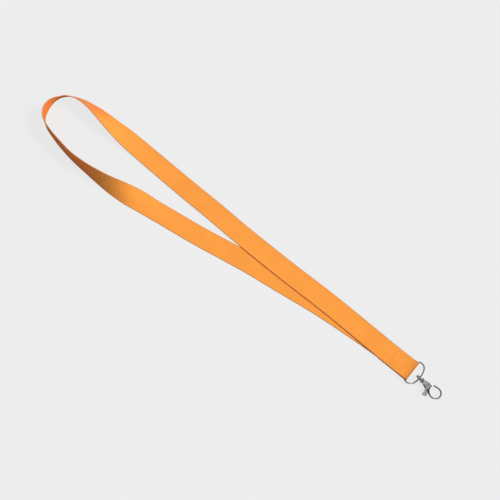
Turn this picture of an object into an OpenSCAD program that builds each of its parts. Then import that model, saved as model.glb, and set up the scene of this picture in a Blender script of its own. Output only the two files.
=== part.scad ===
// Ribbon neck lanyard with a half-round ring and a swivel trigger hook.
// It lies on a table: the ring's bar is above the origin, +X runs from the neck
// turn to the hook and +Z is up. Units are millimetres.

/* [Ribbon] */
// Length of the loop from the ring's bar to the neck turn
loop_l = 435; // [400:1:480]
// Width of the woven ribbon
ribbon_w = 20; // [16:0.5:25]
// Thickness of the woven ribbon
ribbon_t = 0.9; // [0.6:0.1:1.2]
// Gap between two layers that lie on each other
layer_gap = 0.1; // [0.05:0.05:0.2]
// Length of the folded end that runs back under the seam
tail_l = 30; // [26:1:40]

/* [Ring] */
// Thickness of the ring's wire
ring_wire_d = 1.4; // [1:0.1:2]
// Gap between the ribbon's edge and the inside of the ring
ring_side_gap = 0.2; // [0.1:0.1:1]
// Gap between the bar and the ribbon folded round it
bar_gap = 0.3; // [0.2:0.1:0.8]
// Distance from the bar to the front of the ring, between the middles of the wire
ring_reach = 10.2; // [9.6:0.1:12]
// Bend radius of the ring's two shoulders at the middle of the wire
ring_shoulder_r = 6; // [5.6:0.1:6.4]
// How far the front bows out past the shoulders
ring_bulge = 1; // [0.6:0.1:1.5]
// Bend radius of the ring's two corners at the middle of the wire
ring_corner_r = 1.6; // [1.4:0.1:2]

/* [Seam] */
// Distance from the ring's bar to the seam
seam_setback = 8; // [7:0.5:10]
// Length of one stitch
stitch_l = 2; // [1.5:0.25:2]
// Number of stitches along the ribbon on each long side of the seam
stitches_long = 6; // [4:1:6]
// Number of stitches across the ribbon on each short side of the seam
stitches_wide = 7; // [4:1:7]
// Thickness of the sewing thread
thread_d = 0.4; // [0.3:0.05:0.5]

/* [Swivel eye] */
// Thickness of the eye's wire
eye_wire_d = 1.5; // [1.2:0.1:2]
// Inner radius of the eye
eye_inner_r = 1.6; // [1.4:0.1:2.5]
// Gap between the ring's wire and the front of the eye
eye_front_gap = 0.5; // [0.3:0.1:0.6]
// Diameter of the collar between the eye and the hook
collar_d = 5.2; // [4.2:0.1:5.6]
// Thickness of the collar
collar_t = 0.9; // [0.6:0.1:1.5]
// Diameter of the swivel stem
stem_d = 1.8; // [1.4:0.1:2]
// Diameter of the peened head that keeps the stem in the hook
stem_head_d = 2.6; // [2.4:0.1:2.7]
// Thickness of the peened head
stem_head_t = 0.8; // [0.5:0.1:1]
// Play of the stem along its axis, at each end
stem_end_play = 0.1; // [0.05:0.05:0.2]
// Radial clearance of the stem in its bore
stem_clearance = 0.05; // [0.02:0.01:0.1]

/* [Hook body] */
// Thickness of the cast body
body_t = 5; // [4.6:0.1:6]
// Diameter of the round socket that holds the stem
socket_d = 4.2; // [3.9:0.1:4.6]
// Length of the wall that the stem turns in
socket_wall = 3.1; // [2:0.1:4]
// Radius of the body round the pivot pin
cheek_r = 2.5; // [2.3:0.1:3]
// Width of the spine that runs from the socket to the bow
spine_w = 2.2; // [1.6:0.1:2.6]
// Inner radius of the bow
bow_inner_r = 4.4; // [3.5:0.1:6]
// Thickness of the bow
bow_wire_d = 1.6; // [1.3:0.1:2]
// Length of the straight tip that ends in the nib
tip_l = 5.4; // [4.5:0.1:6]
// Diameter of the nib at the end of the tip
nib_d = 2; // [1.7:0.1:2.2]
// Where the eye hangs on the front of the ring, measured from its middle
grip_y = 1.5; // [0:0.1:3]
// Turn of the hook about the vertical
hook_yaw = 8; // [0:1:12]

/* [Trigger] */
// Diameter of the pivot pin
pin_d = 1.2; // [1:0.1:1.5]
// Diameter of the pin's riveted heads
pin_head_d = 2.2; // [1.8:0.1:2.6]
// Thickness of the pin's riveted heads
pin_head_t = 0.3; // [0.2:0.05:0.4]
// Radial clearance of the pin in the lever
pin_clearance = 0.05; // [0.02:0.01:0.1]
// Thickness of the lever
lever_t = 2.2; // [2:0.1:2.6]
// Gap between the lever and each cheek
lever_side_gap = 0.15; // [0.1:0.05:0.3]
// Radius of the lever's hub
hub_r = 2.2; // [2:0.1:2.4]
// Radius of the nose that closes the bow
nose_r = 0.8; // [0.6:0.1:1]
// Gap between the closed nose and the nib
nose_gap = 0.2; // [0.1:0.05:0.4]
// Distance from the pivot to the thumb pad
thumb_reach = 8.3; // [7.9:0.1:9]
// Width of the thumb pad across the body
thumb_w = 4.4; // [3:0.1:5]
// How far the lever turns when it is pulled open
lever_travel = 25; // [15:1:28]

/* [Trigger spring] */
// Thickness of the spring's wire
spring_wire_d = 0.25; // [0.2:0.05:0.3]
// Inner radius of the spring's coil
spring_inner_r = 0.95; // [0.9:0.05:1]
// Number of turns in the coil
spring_turns = 3; // [2:1:3]

/* [Hidden] */

fine = 48;
eps = 0.01;
// Where a straight wire runs into a bend it is this much thinner and reaches in
weld_step = 0.04;
weld_l = 0.2;

// Ribbon layers and the fold round the bar
layer_pitch = ribbon_t + layer_gap;
fold_inner_r = ring_wire_d / 2 + bar_gap;
fold_mid_r = fold_inner_r + ribbon_t / 2;
bar_z = ribbon_t + fold_inner_r;
fold_lift = (ribbon_t + 2 * fold_inner_r) / layer_pitch;
fold_steps = 12;
span_steps = 6;

// Where the strands climb over the folded end, measured from the bar
climb_gap = 4;
climb_l = 28;
climb_end = tail_l + climb_gap;
climb_start = climb_end + climb_l;
// How far to the side the first strand lies where its climb ends
climb_side = 2;

// Hand-chosen route of the ribbon's middle line, from the ring's bar round the
// neck turn and back: [x, y, layers below it, roll in degrees]. A roll of 90
// stands the ribbon on its edge. It is drawn for a loop of drawn_l.
drawn_l = 435;
route = [
    [0, 0, fold_lift, 0], [-seam_setback / 2, 0.2, 2.2, 0], [-seam_setback, 0.5, 2, 0],
    [-(seam_setback + climb_end) / 2, 1.2, 2, 0], [-climb_end, climb_side, 2, 0],
    [-climb_start, 4.5, 1, 0],
    [-100, 7, 1, 0], [-150, 9, 1, 0], [-200, 12, 1, 0], [-235, 15, 1, 0],
    [-280, 18.5, 0, 0], [-335, 23, 0, 5], [-355, 24.5, 0, 12], [-370, 25.5, 0, 26],
    [-385, 27, 0, 39], [-400, 28, 0, 52], [-415, 27, 0, 60], [-427, 22.5, 0, 61],
    [-433, 15, 0, 64], [-435, 4, 0, 80], [-432, -7, 0, 88], [-424, -14.5, 0, 92],
    [-411, -19.5, 0, 93], [-395, -23.5, 0, 91], [-378, -26.5, 0, 90], [-360, -27.5, 0, 84],
    [-345, -27.5, 0, 74], [-330, -26.5, 0, 60], [-315, -24, 0, 40], [-300, -20.5, 0, 15],
    [-285, -18.5, 0, 2], [-265, -16.5, 0, 0], [-230, -13, 0, 0], [-180, -6.5, 0, 0],
    [-140, -3, 0, 0], [-100, 0.5, 0, 0], [-climb_start + 4, 2, 0, 0],
    [-climb_end + 1, 1.8, 1, 0], [-seam_setback * 2, 1, 1, 0], [-5, 0.3, 1, 0]];

// Ring: its wire leaves the bar in a tight corner, rounds a wide shoulder that
// clears the ribbon's edge, and closes in a flat front. Each bend meets the next
// on a common tangent.
shoulder_x = ring_reach - ring_shoulder_r - ring_bulge;
shoulder_y = ribbon_w / 2 - sqrt(pow(ring_shoulder_r - ring_wire_d / 2 - ring_side_gap, 2)
    - pow(shoulder_x - fold_inner_r, 2));
corner_y = shoulder_y + sqrt(pow(ring_shoulder_r - ring_corner_r, 2)
    - pow(shoulder_x - ring_corner_r, 2));
corner_turn = atan2(corner_y - shoulder_y, ring_corner_r - shoulder_x);
front_r = (pow(ring_shoulder_r + ring_bulge, 2) + pow(shoulder_y, 2)
    - pow(ring_shoulder_r, 2)) / (2 * ring_bulge);
front_x = ring_reach - front_r;
front_turn = asin(shoulder_y / (front_r - ring_shoulder_r));
grip_x = front_x + sqrt(pow(front_r, 2) - pow(grip_y, 2));

// Swivel eye, in the hook's own frame: U along the stem from the ring's wire,
// V across the hook in the plane it lies in
eye_mid_r = eye_inner_r + eye_wire_d / 2;
eye_outer_r = eye_inner_r + eye_wire_d;
eye_u = ring_wire_d / 2 + eye_front_gap - eye_inner_r;
collar_u = eye_u + eye_outer_r - eye_wire_d / 3;
collar_end_u = collar_u + collar_t;

// The ring leans up until its wire passes through the middle of the eye
hook_z = eye_outer_r;
ring_lean = asin((hook_z - bar_z) / grip_x);
hook_reach = grip_x * cos(ring_lean);

// Hook body
socket_u = collar_end_u + stem_end_play;
wall_end_u = socket_u + socket_wall;
rear_step = 0.25;
rear_r = socket_d / 2 - rear_step;
rear_u = wall_end_u + 2 * rear_step;
head_u = wall_end_u + stem_end_play;
head_end_u = head_u + stem_head_t;
chamber_end_u = head_end_u + stem_end_play * 2;
slot_u = chamber_end_u - stem_end_play;
pivot_u = chamber_end_u + hub_r + stem_end_play;
slot_t = lever_t + 2 * lever_side_gap;
slot_reach = 3.6;
slot_end_u = pivot_u + slot_reach;
lobe_r = 1.7;
lobe_at = [pivot_u + 2, -1.2];
spine_turn = 24;
spine_start = [pivot_u - 1.4, -1.2];
spine_l = 6.5;
spine_end = spine_start + spine_l * [cos(spine_turn), -sin(spine_turn)];
spine_end_w = 1.9;
taper_reach = 0.8;
taper_u = slot_end_u - taper_reach;
taper_end_u = spine_end[0] + spine_end_w / 2;

// Bow: its arc leaves the spine's line smoothly
bow_r = bow_inner_r + bow_wire_d / 2;
bow_neck_l = 2.8;
bow_foot = spine_end + bow_neck_l * [cos(spine_turn), -sin(spine_turn)];
bow_c = bow_foot + bow_r * [sin(spine_turn), cos(spine_turn)];
bow_start = -90 - spine_turn;
tip_turn = 100;
tip_start = bow_c + bow_r * [cos(tip_turn), sin(tip_turn)];
nib_at = tip_start + tip_l * [-sin(tip_turn), cos(tip_turn)];

// Lever: the closed nose stops just short of the nib
nose_lag = 12;
nose_aim = atan2(nib_at[1], nib_at[0] - pivot_u) - nose_lag;
nose_reach = norm(nib_at - [pivot_u, 0]) - nib_d / 2 - nose_r - nose_gap;
nose_at = [pivot_u, 0] + nose_reach * [cos(nose_aim), sin(nose_aim)];
thumb_aim = -66;
thumb_at = [pivot_u, 0] + thumb_reach * [cos(thumb_aim), sin(thumb_aim)];
arm_root_r = 1.3;
thumb_half = 1.5;
thumb_edge_r = 0.6;
hook_sides = 32;

// Spring in its recess in the lever
recess_r = spring_inner_r + spring_wire_d + 0.3;
spring_pitch = spring_wire_d + 0.04;
spring_h = spring_turns * spring_pitch + spring_wire_d;
spring_z = lever_t / 2 - spring_h;
recess_z = spring_z - 0.05;
spring_mid_r = spring_inner_r + spring_wire_d / 2;
spring_sides = 6;
spring_rings = 16;
body_leg_l = pivot_u - slot_u - 0.05;
lever_leg_l = sqrt(pow(recess_r, 2) - pow(spring_inner_r + spring_wire_d, 2)) - 0.05;

// Smooth curve through four neighbouring stations, and its direction
function curve(a, b, c, d, t) =
    0.5 * (2 * b + (c - a) * t + (2 * a - 5 * b + 4 * c - d) * t * t
    + (3 * b - a - 3 * c + d) * t * t * t);
function slope(a, b, c, d, t) =
    0.5 * (c - a + 2 * (2 * a - 5 * b + 4 * c - d) * t
    + 3 * (3 * b - a - 3 * c + d) * t * t);
function ease(t) = t * t * (3 - 2 * t);
function stretched(x) = x > -climb_start ? x :
    -climb_start + (x + climb_start) * (loop_l - climb_start) / (drawn_l - climb_start);
function station(i) =
    let (p = route[max(0, min(len(route) - 1, i))])
    [stretched(p[0]), p[1], p[2], p[3]];

// One section of the ribbon: [middle point, direction of its width, its normal]
function section(p, lift, way) =
    let (h = way / norm(way), side = [-h[1], h[0], 0], roll = p[3])
    let (z = lift * layer_pitch + ribbon_w / 2 * abs(sin(roll)) + ribbon_t / 2 * abs(cos(roll)))
    [[p[0], p[1], z],
     side * cos(roll) + [0, 0, sin(roll)],
     [0, 0, cos(roll)] - side * sin(roll)];
function strand_section(i, t) =
    let (a = station(i - 1), b = station(i), c = station(i + 1), d = station(i + 2))
    let (way = slope(a, b, c, d, t))
    section(curve(a, b, c, d, t), b[2] + (c[2] - b[2]) * ease(t), [way[0], way[1]]);

// The folded end under the seam, then the half turn round the bar. Their width
// runs along -Y, as it does on the strand that follows.
// The tail drifts to the side with the strands above it, so its end stays hidden
tail_side = climb_side * tail_l / climb_end;
tail_sections = [[[-tail_l, tail_side, ribbon_t / 2], [0, -1, 0], [0, 0, -1]]];
fold_sections = [for (k = [0:fold_steps - 1])
    let (a = -90 + 180 * k / fold_steps)
    [[fold_mid_r * cos(a), 0, bar_z + fold_mid_r * sin(a)], [0, -1, 0], [cos(a), 0, sin(a)]]];
strand_sections = [for (i = [0:len(route) - 2]) for (k = [0:span_steps - 1])
    strand_section(i, k / span_steps)];
end_sections = [strand_section(len(route) - 2, 1)];
sections = concat(tail_sections, fold_sections, strand_sections, end_sections);

// Ribbon as one solid swept through its sections
module ribbon() {
    w = ribbon_w / 2;
    t = ribbon_t / 2;
    points = [for (s = sections) for (c = [[w, t], [-w, t], [-w, -t], [w, -t]])
        s[0] + s[1] * c[0] + s[2] * c[1]];
    last = 4 * (len(sections) - 1);
    sides = [for (i = [0:len(sections) - 2]) for (j = [0:3])
        let (a = 4 * i + j, b = 4 * i + (j + 1) % 4)
        for (f = [[a, b, b + 4], [a, b + 4, a + 4]]) f];
    ends = [[3, 2, 1, 0], [last, last + 1, last + 2, last + 3]];
    color("orange") polyhedron(points, concat(sides, ends));
}

// Seam: a rectangle of stitches through both ends of the ribbon. The upper
// thread shows on top, the lower one is drawn into the tail, and they lock
// halfway through.
seam_z = 1.5 * layer_pitch;
seam_top_z = 2 * layer_pitch + ribbon_t;
seam_l = stitches_long * stitch_l;
seam_w = stitches_wide * stitch_l;
seam_at = [-seam_setback - seam_l, -seam_w / 2 + 0.5];

// Thread along one side of the seam, with a leg at each needle hole. It runs on
// into the corner where the next side starts.
module stitch_row(count, bar_z0, leg_from, leg_to) {
    translate([0, 0, bar_z0])
        cube([count * stitch_l + thread_d, thread_d, thread_d]);
    for (k = [0:count - 1])
        translate([k * stitch_l, 0, leg_from])
            cube([thread_d, thread_d, leg_to - leg_from]);
}

module seam(bar_z0, leg_from, leg_to) {
    translate([seam_at[0], seam_at[1], 0])
        stitch_row(stitches_long, bar_z0, leg_from, leg_to);
    translate([seam_at[0] + seam_l + thread_d, seam_at[1], 0])
        rotate([0, 0, 90]) stitch_row(stitches_wide, bar_z0, leg_from, leg_to);
    translate([seam_at[0] + seam_l + thread_d, seam_at[1] + seam_w + thread_d, 0])
        rotate([0, 0, 180]) stitch_row(stitches_long, bar_z0, leg_from, leg_to);
    translate([seam_at[0], seam_at[1] + seam_w + thread_d, 0])
        rotate([0, 0, -90]) stitch_row(stitches_wide, bar_z0, leg_from, leg_to);
}

module needle_thread() {
    color("darkorange") seam(seam_top_z - thread_d / 2, seam_z, seam_top_z);
}

module bobbin_thread() {
    color("darkorange") seam(0, thread_d / 2, seam_z);
}

// Bend of round wire about a centre, from one turn to another
module bend(centre, r, from, to, d) {
    translate([centre[0], centre[1], 0]) rotate([0, 0, from])
        rotate_extrude(angle = to - from, $fn = 96)
            translate([r, 0]) circle(d = d, $fn = fine);
}

// Ring: straight bar, two corners, two shoulders and the front
module d_ring() {
    shoulder_weld = asin(weld_l / ring_shoulder_r);
    color("silver") translate([0, 0, bar_z]) rotate([0, -ring_lean, 0]) {
        rotate([90, 0, 0])
            cylinder(h = 2 * (corner_y + weld_l), d = ring_wire_d - weld_step, center = true,
                $fn = fine);
        for (side = [0, 1]) mirror([0, side, 0]) {
            bend([ring_corner_r, corner_y], ring_corner_r, corner_turn, 180, ring_wire_d);
            bend([shoulder_x, shoulder_y], ring_shoulder_r, front_turn - shoulder_weld,
                corner_turn + shoulder_weld, ring_wire_d - weld_step);
        }
        bend([front_x, 0], front_r, -front_turn, front_turn, ring_wire_d);
    }
}

// Places the hook's own frame at the ring's wire
module at_hook() {
    translate([hook_reach, -grip_y, hook_z]) rotate([0, 0, -hook_yaw]) children();
}

// Cylinder along U
module along_u(from, to, d) {
    translate([from, 0, 0]) rotate([0, 90, 0]) cylinder(h = to - from, d = d, $fn = fine);
}

// Outline of two circles joined by their tangents
module link(p, p_r, q, q_r) {
    way = q - p;
    a = atan2(way[1], way[0]);
    b = acos((p_r - q_r) / norm(way));
    translate(p) circle(r = p_r, $fn = fine);
    translate(q) circle(r = q_r, $fn = fine);
    polygon([
        p + p_r * [cos(a - b), sin(a - b)], q + q_r * [cos(a - b), sin(a - b)],
        q + q_r * [cos(a + b), sin(a + b)], p + p_r * [cos(a + b), sin(a + b)]]);
}

module swivel_eye() {
    color("silver") at_hook() {
        translate([eye_u, 0, 0]) rotate([90, 0, 0]) rotate_extrude($fn = fine)
            translate([eye_mid_r, 0]) circle(d = eye_wire_d, $fn = hook_sides);
        along_u(collar_u, collar_end_u, collar_d);
        along_u(collar_u, head_u + eps, stem_d);
        along_u(head_u, head_end_u, stem_head_d);
    }
}

// Plan of the cast body: socket block, cheeks round the pivot and the spine
module body_plan() {
    link([rear_u, 0], rear_r, [pivot_u, 0], cheek_r);
    link([pivot_u, 0], cheek_r, lobe_at, lobe_r);
    link(spine_start, spine_w / 2, spine_end, spine_end_w / 2);
}

// Slope that thins the spine from the body to the bow, above or below
module body_taper(side) {
    rotate([90, 0, 0]) linear_extrude(4 * socket_d, center = true)
        polygon([
            [taper_u, side * body_t], [taper_u, side * body_t / 2],
            [taper_end_u, side * spine_end_w / 2], [taper_end_u + body_t, side * spine_end_w / 2],
            [taper_end_u + body_t, side * body_t]]);
}

module hook_body() {
    weld_turn = asin(weld_l / bow_r);
    color("silver") at_hook() difference() {
        union() {
            along_u(socket_u, wall_end_u + weld_l, socket_d);
            difference() {
                translate([0, 0, -body_t / 2]) linear_extrude(body_t) body_plan();
                for (side = [1, -1]) body_taper(side);
            }
            translate([spine_end[0], spine_end[1], 0]) rotate([0, 0, -spine_turn])
                rotate([0, 90, 0])
                    cylinder(h = bow_neck_l, d1 = spine_end_w, d2 = bow_wire_d + weld_step,
                        $fn = fine);
            bend(bow_c, bow_r, bow_start - weld_turn, tip_turn, bow_wire_d);
            translate([tip_start[0], tip_start[1], 0]) rotate([0, 0, tip_turn])
                rotate([-90, 0, 0]) translate([0, 0, -weld_l])
                    cylinder(h = tip_l + weld_l, d = bow_wire_d - weld_step, $fn = fine);
            translate([nib_at[0], nib_at[1], 0]) sphere(d = nib_d, $fn = fine);
        }
        along_u(socket_u - 1, wall_end_u + eps, stem_d + 2 * stem_clearance);
        along_u(wall_end_u, chamber_end_u, stem_head_d + 4 * stem_end_play);
        translate([slot_u, -socket_d * 2, -slot_t / 2])
            cube([slot_end_u - slot_u, socket_d * 4, slot_t]);
        translate([pivot_u, 0, -body_t]) cylinder(h = 2 * body_t, d = pin_d, $fn = fine);
    }
}

// Plan of the lever: hub, nose and the arm out to the thumb
module lever_plan() {
    link([pivot_u, 0], hub_r, nose_at, nose_r);
    link([pivot_u, 0] + hub_r / 2 * [cos(thumb_aim), sin(thumb_aim)], arm_root_r,
        thumb_at, thumb_half);
}

module trigger_lever() {
    edge = thumb_half * [-sin(thumb_aim), cos(thumb_aim)];
    color("lightgray") at_hook() difference() {
        union() {
            translate([0, 0, -lever_t / 2]) linear_extrude(lever_t) lever_plan();
            translate([0, 0, -thumb_w / 2]) linear_extrude(thumb_w)
                link(thumb_at - edge, thumb_edge_r, thumb_at + edge, thumb_edge_r);
        }
        translate([pivot_u, 0, -lever_t])
            cylinder(h = 2 * lever_t, r = pin_d / 2 + pin_clearance, $fn = fine);
        translate([pivot_u, 0, recess_z]) cylinder(h = lever_t, r = recess_r, $fn = fine);
        translate([pivot_u - hub_r * 2, -spring_mid_r * 2, recess_z])
            cube([hub_r * 2, spring_mid_r * 2, lever_t]);
    }
}

module pivot_pin() {
    color("silver") at_hook() translate([pivot_u, 0, 0]) {
        cylinder(h = body_t, d = pin_d, center = true, $fn = fine);
        for (side = [1, -1])
            translate([0, 0, side * (body_t + pin_head_t) / 2])
                cylinder(h = pin_head_t, d = pin_head_d, center = true, $fn = fine);
    }
}

// Middle line of the spring: a leg from the body, the coil and a leg to the lever
function coil_point(k) =
    let (a = -90 + 360 * k / spring_rings)
    [spring_mid_r * cos(a), spring_mid_r * sin(a),
     spring_z + spring_wire_d / 2 + spring_pitch * k / spring_rings];
coil_points = [for (k = [0:spring_turns * spring_rings]) coil_point(k)];
coil_top = coil_points[len(coil_points) - 1];
spring_line = concat(
    [[-body_leg_l, -spring_mid_r, spring_z + spring_wire_d / 2]],
    coil_points,
    [coil_top + [lever_leg_l, 0, 0]]);

module trigger_spring() {
    n = len(spring_line);
    rings = [for (i = [0:n - 1])
        let (way = spring_line[min(n - 1, i + 1)] - spring_line[max(0, i - 1)])
        let (h = way / norm(way), side = cross([0, 0, 1], h) / norm(cross([0, 0, 1], h)))
        let (up = cross(h, side))
        for (j = [0:spring_sides - 1])
            let (a = 360 * j / spring_sides)
            spring_line[i] + spring_wire_d / 2 * (side * cos(a) + up * sin(a))];
    walls = [for (i = [0:n - 2]) for (j = [0:spring_sides - 1])
        let (a = i * spring_sides + j, b = i * spring_sides + (j + 1) % spring_sides)
        for (f = [[a, a + spring_sides, b + spring_sides], [a, b + spring_sides, b]]) f];
    first = [for (j = [0:spring_sides - 1]) j];
    last = [for (j = [spring_sides - 1:-1:0]) (n - 1) * spring_sides + j];
    color("gray") at_hook() translate([pivot_u, 0, 0])
        polyhedron(rings, concat(walls, [first, last]));
}

ribbon();
needle_thread();
bobbin_thread();
d_ring();
swivel_eye();
hook_body();
trigger_lever();
pivot_pin();
trigger_spring();
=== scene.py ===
"""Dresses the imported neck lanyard: woven ribbon, sewn seam, plated ring, swivel eye
and trigger hook, on a plain studio stage."""

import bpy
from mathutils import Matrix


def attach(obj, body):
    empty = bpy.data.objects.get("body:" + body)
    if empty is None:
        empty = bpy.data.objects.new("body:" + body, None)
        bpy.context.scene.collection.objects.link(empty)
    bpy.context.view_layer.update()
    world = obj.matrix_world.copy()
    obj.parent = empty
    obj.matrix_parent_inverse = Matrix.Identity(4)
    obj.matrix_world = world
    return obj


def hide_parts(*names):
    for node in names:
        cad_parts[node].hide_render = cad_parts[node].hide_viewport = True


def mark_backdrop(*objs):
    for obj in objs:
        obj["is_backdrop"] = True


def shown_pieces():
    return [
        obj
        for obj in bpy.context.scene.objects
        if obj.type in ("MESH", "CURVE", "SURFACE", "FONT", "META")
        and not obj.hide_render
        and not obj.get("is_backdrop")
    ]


bl_info = {
    "name": "Ribbon neck lanyard",
    "version": (1, 0, 0),
    "blender": (4, 5, 0),
    "location": "3D View > Sidebar > Lanyard",
    "description": "Makes the ribbon, the seam and the metal fittings of a neck lanyard",
    "category": "Object",
}

import math

import bpy
import bmesh
from mathutils import Matrix, Vector
from mathutils.bvhtree import BVHTree

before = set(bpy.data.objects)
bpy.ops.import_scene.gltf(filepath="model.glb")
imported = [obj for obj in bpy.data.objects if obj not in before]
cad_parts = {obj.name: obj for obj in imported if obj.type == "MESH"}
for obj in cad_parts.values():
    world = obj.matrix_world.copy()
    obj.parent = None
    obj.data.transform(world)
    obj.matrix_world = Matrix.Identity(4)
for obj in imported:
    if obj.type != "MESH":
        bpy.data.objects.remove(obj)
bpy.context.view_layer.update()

MM = 0.001

# ---------------------------------------------------------------- image points
# Places in the 500 x 500 photograph, in its own pixels. The camera's settings were found from
# them.
IMAGE_W = 500
IMAGE_H = 500
IMAGE_POINTS = {
    "left_edge": (41.9, 112.5),
    "top_edge": (65.8, 94.6),
    "right_edge": (441.2, 393.0),
    "bottom_edge": (435.8, 399.8),
    "fold_end_upper_corner": (417.8, 363.8),
    "fold_end_lower_corner": (406.6, 379.6),
    "ring_right": (424.5, 368.8),
    "ring_bottom": (411.6, 384.3),
    "hook_nib": (432.8, 385.4),
    "rivet": (427.4, 385.8),
    "thumb_tab_end": (425.1, 394.3),
    "eye_back": (416.2, 375.8),
    "strands_meet": (237.4, 245.0),
    "front_strand_pinch": (46.3, 124.5),
    "back_strand_kink": (112.4, 137.5),
}

# ------------------------------------------------------------ ribbon's own route
# The ribbon's middle line from the ring's bar round the neck turn and back, as
# the source has it: x and y in mm, layers below it, roll in degrees.
ROUTE = [
    (0, 0, 2.9, 0), (-4, 0.2, 2.2, 0), (-8, 0.5, 2, 0),
    (-21, 1.2, 2, 0), (-34, 2, 2, 0), (-62, 4.5, 1, 0),
    (-100, 7, 1, 0), (-150, 9, 1, 0), (-200, 12, 1, 0), (-235, 15, 1, 0),
    (-280, 18.5, 0, 0), (-335, 23, 0, 5), (-355, 24.5, 0, 12), (-370, 25.5, 0, 26),
    (-385, 27, 0, 39), (-400, 28, 0, 52), (-415, 27, 0, 60), (-427, 22.5, 0, 61),
    (-433, 15, 0, 64), (-435, 4, 0, 80), (-432, -7, 0, 88), (-424, -14.5, 0, 92),
    (-411, -19.5, 0, 93), (-395, -23.5, 0, 91), (-378, -26.5, 0, 90), (-360, -27.5, 0, 84),
    (-345, -27.5, 0, 74), (-330, -26.5, 0, 60), (-315, -24, 0, 40), (-300, -20.5, 0, 15),
    (-285, -18.5, 0, 2), (-265, -16.5, 0, 0), (-230, -13, 0, 0), (-180, -6.5, 0, 0),
    (-140, -3, 0, 0), (-100, 0.5, 0, 0), (-58, 2, 0, 0),
    (-33, 1.8, 1, 0), (-16, 1, 1, 0), (-5, 0.3, 1, 0)]
# Height of the bar's middle, radius of the fold round it, and length of the tail, in mm
BAR_Z = 1.9
FOLD_R = 1.45
TAIL_L = 30.0
# Where the first strand's climb ends, and how far the tail drifts sideways with it, in mm
CLIMB_END = 34
CLIMB_SIDE = 2
TAIL_SIDE = CLIMB_SIDE * TAIL_L / CLIMB_END
# Sections along the tail, round the fold and between two stations of the route
TAIL_STEPS = 8
FOLD_STEPS = 24
SPAN_STEPS = 14
# Degrees round the fold from its lower side to the middle of the painted shade along its far end
FOLD_SHADE_TURN = 125

# Height of the mould line of the hook and the lever, in mm, and how far from its middle
# it begins to show and is full, in m
MOULD_LINE_Z = 3.1
MOULD_LINE_STARTS = 0.00009
MOULD_LINE_FULL = 0.00003
# Middle of the rivet, from above, in mm
RIVET_AT = (19.681, -2.85)
# Places whose image positions are worked out for the image points, in mm. NIB is the middle of
# the whole nib, and the cut for the lever's slot leaves only the far side of it.
NIB = (23.192, 0.647, 3.1)
RIVET_TOP = (*RIVET_AT, 5.9)
EYE_BACK = (7.4, -0.9, 5.2)
# Middle of the metal pieces, that the panels stand round, in mm
METAL_AT = (15.0, -3.0, 3.0)

# Slope of the twill across the ribbon
TWILL_SLOPE = 0.62
# Where the painted shade along each edge begins and is full, and where the painted light on its
# brim, the edge's side face, is full, as distances from the edge in m
EDGE_SHADE_STARTS = 0.00075
EDGE_SHADE_FULL = 0.0003
BRIM_LIGHT_FULL = 0.0001
# Where the heat-sealed end begins and is full, from the cut in m
SEAL_STARTS = 0.0012
SEAL_FULL = 0.0003
# Distance from the middle of the painted shade on the fold's far end where it begins and is full,
# in m, and that painted shade's share
FOLD_SHADE_STARTS = 0.0020
FOLD_SHADE_FULL = 0.0009
FOLD_SHADE_SHARE = 0.75
FOLD_SHADE_COLOUR = (0.42, 0.145, 0.025)
# Slant at which the painted redder shade on the ribbon begins and is full, from 0 to 1, and its
# share
SLANT_SHADE_STARTS = 0.36
SLANT_SHADE_FULL = 0.66
SLANT_SHADE_SHARE = 0.75
SLANT_SHADE_COLOUR = (1.0, 0.225, 0.028)
# Width of the camera's sensor in mm
SENSOR_WIDTH = 36.0
# Direction of the main light, from the table towards the lamp, and its spread in degrees
KEY_WAY = (0.66, 0.34, 0.67)
KEY_SPREAD = 24
# Panels that the metal reflects: degrees from the camera towards the back, brightness
ARCH = [(-50, 0.75), (-30, 0.75), (-10, 0.7), (10, 0.7), (30, 0.7), (50, 0.7),
        (70, 0.75), (90, 0.8), (106, 0.8)]
# Distance of the panels from the metal and their side, in m
PANEL_DISTANCE = 1.2
PANEL_SIDE = 0.42
# Height above the table where the dark tent ends, in m
TENT_FOOT = 0.02
# Side of the floor and its height, in m, and the share of its shadow the camera misses
FLOOR_SIDE = 8.0
FLOOR_Z = -0.0003
SHADOW_UNSEEN = 0.92
# How near under the metal the floor gets painted contact shade, in m, the colour of that painted
# shade that metal sees there, and the colour that the floor throws back on the ribbon
CONTACT_SHADE_REACH = 0.012
CONTACT_SHADE_COLOUR = (0.01, 0.01, 0.01, 1)
BOUNCE_COLOUR = (0.22, 0.22, 0.22, 1)
# Size of the lever's cells against those of the other castings
LEVER_GRAIN = 0.6


# ------------------------------------------------------------------- settings
class RibbonSettings(bpy.types.PropertyGroup):
    """Sizes and colours of the woven ribbon."""
    width: bpy.props.FloatProperty(
        name="Width", description="Width of the ribbon",
        default=0.020, min=0.010, max=0.030, unit='LENGTH', precision=4)
    thickness: bpy.props.FloatProperty(
        name="Thickness", description="Thickness of the ribbon at its two edges",
        default=0.0009, min=0.0004, max=0.0015, unit='LENGTH', precision=5)
    layer_pitch: bpy.props.FloatProperty(
        name="Layer pitch", description="Height from one lying layer to the next",
        default=0.0010, min=0.0005, max=0.002, unit='LENGTH', precision=5)
    thread_pitch: bpy.props.FloatProperty(
        name="Thread pitch", description="Distance between two ribs of the weave",
        default=0.00072, min=0.0003, max=0.002, unit='LENGTH', precision=5)
    colour: bpy.props.FloatVectorProperty(
        name="Colour", description="Colour of the ribbon's face", subtype='COLOR',
        size=3, default=(1.0, 0.366, 0.056), min=0, max=1)
    rib_colour: bpy.props.FloatVectorProperty(
        name="Rib colour", description="Colour between the ribs of the weave",
        subtype='COLOR', size=3, default=(0.95, 0.320, 0.046), min=0, max=1)
    # Painted shade along both edges, lighter painted light on their side faces, and the colour of
    # the heat-sealed ends
    edge_shade_and_seal_colour: bpy.props.FloatVectorProperty(
        name="Edge shade and seal colour", description="Painted shade of the edges, and colour of the sealed ends", subtype='COLOR',
        size=3, default=(0.55, 0.220, 0.070), min=0, max=1)


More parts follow.
